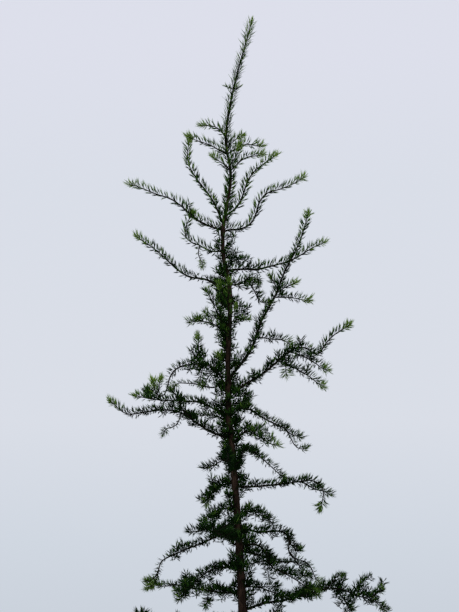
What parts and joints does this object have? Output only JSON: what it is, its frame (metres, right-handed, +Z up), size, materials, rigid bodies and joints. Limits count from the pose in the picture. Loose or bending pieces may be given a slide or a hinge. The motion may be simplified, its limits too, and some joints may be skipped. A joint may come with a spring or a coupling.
{
  "type": "contorted japanese larch tree",
  "caption": "Slim young contorted larch with a straight dark trunk, a leaning leader and twisting limbs closely set with soft green needles.",
  "frame": {"origin": "centre of the trunk's flat cut at ground level", "axes": "+Z straight up the tree, +X to the right and +Y away from the viewer in the source picture's view"},
  "size_m": [1.076, 1.0979, 3.2252],
  "materials": {
    "bark": "rough, dark reddish brown",
    "young_bark": "rough, brown",
    "needles": "matt, dark green",
    "fresh_needles": "matt, light green"
  },
  "bodies": {
    "root": {"trunk": "bark", "bough_14": "young_bark", "bough_16": "young_bark", "bough_36": "young_bark", "bough_44": "young_bark", "bough_45": "young_bark", "bough_46": "young_bark", "bough_47": "young_bark", "bough_48": "young_bark", "bough_49": "young_bark", "foliage_leader": "fresh_needles", "foliage_01": "needles", "foliage_02": "needles", "foliage_03": "needles", "foliage_04": "needles", "foliage_05": "needles", "foliage_06": "needles", "foliage_07": "needles", "foliage_08": "needles", "foliage_09": "needles", "foliage_10": "needles", "foliage_11": "needles", "foliage_12": "needles", "foliage_13": "needles", "foliage_14": "needles", "foliage_15": "needles", "foliage_16": "needles", "foliage_17": "needles", "foliage_18": "needles", "foliage_19": "needles", "foliage_20": "needles", "foliage_21": "needles", "foliage_22": "needles", "foliage_23": "needles", "foliage_24": "needles", "foliage_25": "needles", "foliage_26": "needles", "foliage_27": "needles", "foliage_28": "needles", "foliage_29": "needles", "foliage_30": "needles", "foliage_31": "needles", "foliage_32": "needles", "foliage_33": "needles", "foliage_34": "needles", "foliage_35": "needles", "foliage_36": "needles", "foliage_37": "needles", "foliage_38": "needles", "foliage_39": "needles", "foliage_40": "needles", "foliage_41": "needles", "foliage_42": "needles", "foliage_43": "needles", "foliage_44": "needles", "foliage_45": "needles", "foliage_46": "needles", "foliage_47": "needles", "foliage_48": "needles", "foliage_49": "needles"}
  },
  "joints": []
}
